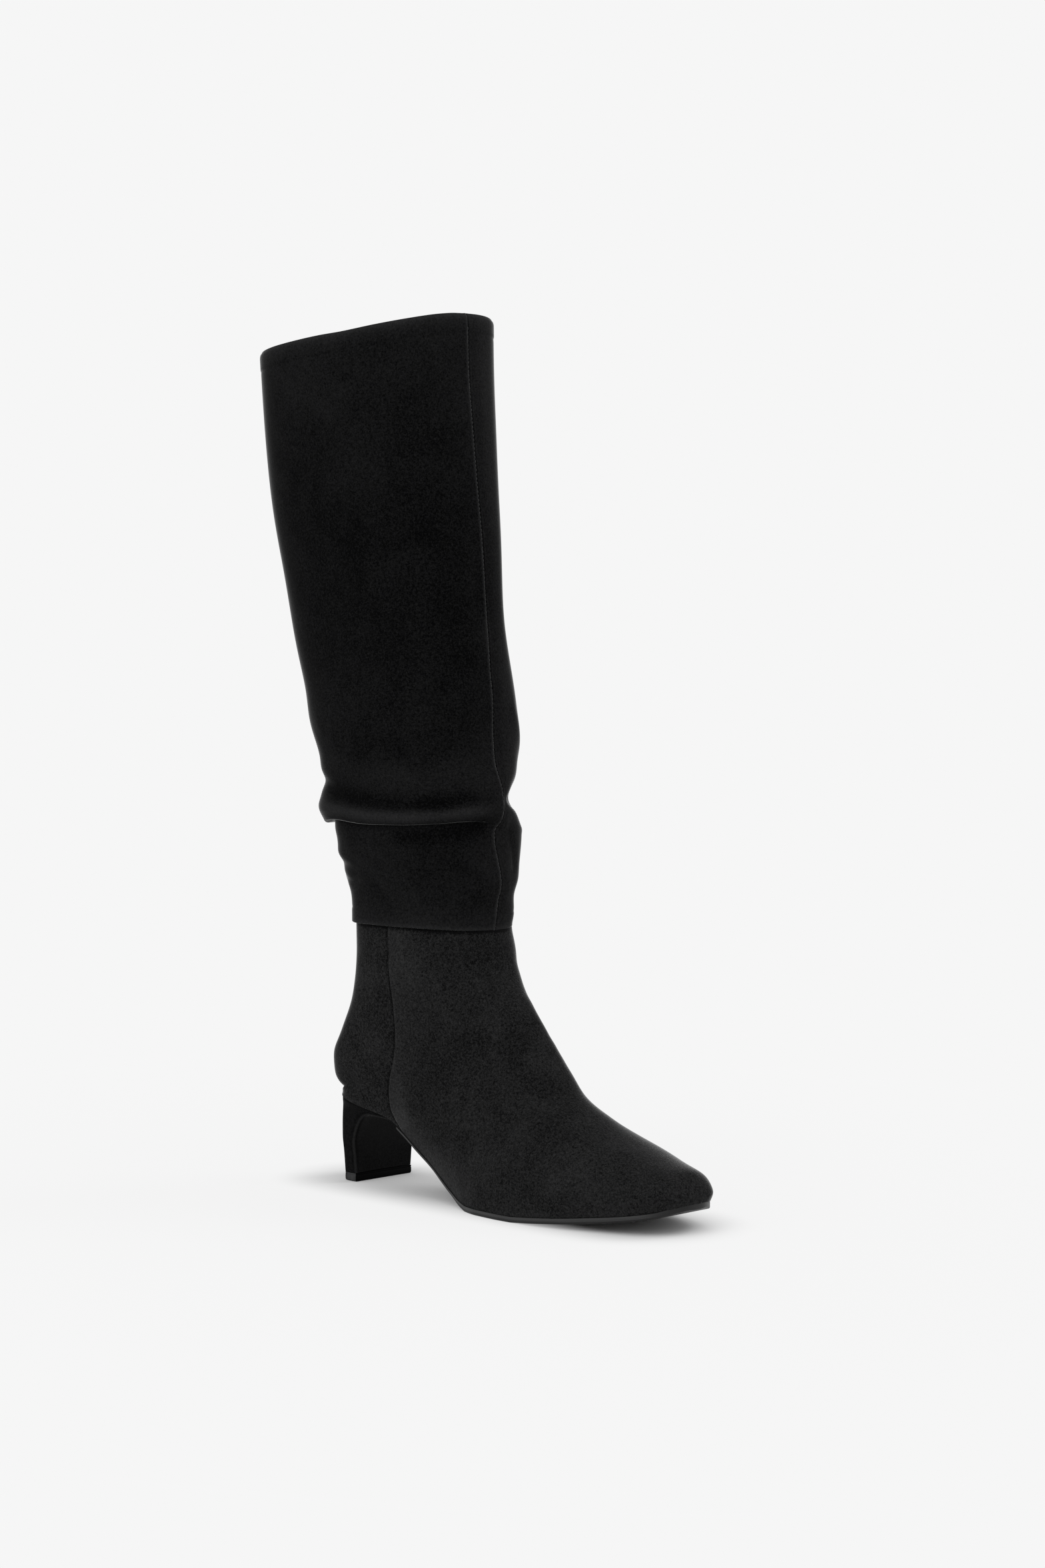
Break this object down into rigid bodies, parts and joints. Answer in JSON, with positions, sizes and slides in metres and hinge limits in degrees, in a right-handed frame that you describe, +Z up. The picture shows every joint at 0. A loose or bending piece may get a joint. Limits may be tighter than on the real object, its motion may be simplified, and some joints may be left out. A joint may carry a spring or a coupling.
{
  "type": "slouch boot",
  "caption": "Knee-high pull-on slouch boot for the right foot: hollow suede foot and shaft, shaft rolled in a soft fold over the ankle, leather sole and slim covered heel",
  "frame": {"origin": "on the floor, under the heel's tread", "axes": "+Z up, +X toward the toe, +Y toward the wearer's left"},
  "size_m": [0.3111, 0.109, 0.4681],
  "materials": {
    "suede": "black suede, soft nap",
    "heel_cover": "black suede, close nap",
    "outsole": "black, waxed edge",
    "top_piece": "dark grey, satin",
    "insole": "smooth, matt"
  },
  "bodies": {
    "root": {"outsole": "outsole", "heel": "heel_cover", "heel_top_piece": "top_piece", "insole": "insole", "foot_upper": "suede", "shaft": "suede"}
  },
  "joints": []
}
